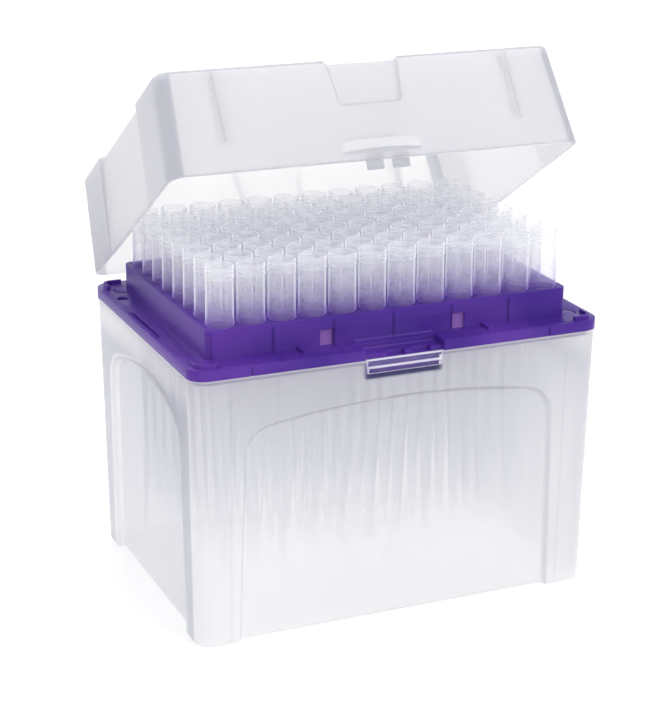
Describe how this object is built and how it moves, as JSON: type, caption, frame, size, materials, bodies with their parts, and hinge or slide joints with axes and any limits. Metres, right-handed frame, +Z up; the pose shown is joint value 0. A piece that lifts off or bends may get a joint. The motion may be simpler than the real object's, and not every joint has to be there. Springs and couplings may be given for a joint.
{
  "type": "pipette tip box",
  "caption": "Translucent box with a hinged lid and a violet tray that holds a full grid of long clear pipette tips.",
  "frame": {"origin": "centre of the base's flat underside, on the table", "axes": "+Z up, +X along the long side to the right seen from the front, +Y from the front with the catch to the back with the hinges"},
  "size_m": [0.1246, 0.1059, 0.1556],
  "materials": {
    "base": "translucent satin polypropylene",
    "tray": "violet, slightly translucent, satin",
    "lid": "translucent satin polypropylene",
    "tips": "clear polypropylene"
  },
  "bodies": {
    "base": {"base": "base", "tray": "tray", "tips_column_01": "tips", "tips_column_02": "tips", "tips_column_03": "tips", "tips_column_04": "tips", "tips_column_05": "tips", "tips_column_06": "tips", "tips_column_07": "tips", "tips_column_08": "tips", "tips_column_09": "tips", "tips_column_10": "tips", "tips_column_11": "tips", "tips_column_12": "tips"},
    "lid": {"lid": "lid"}
  },
  "joints": [
    {"name": "lid_hinge", "type": "hinge", "parent": "base", "child": "lid", "pos_m": [0, 0.048, 0.08], "axis": [-1, 0, 0], "range_deg": [-32.35, 67.65]}
  ]
}
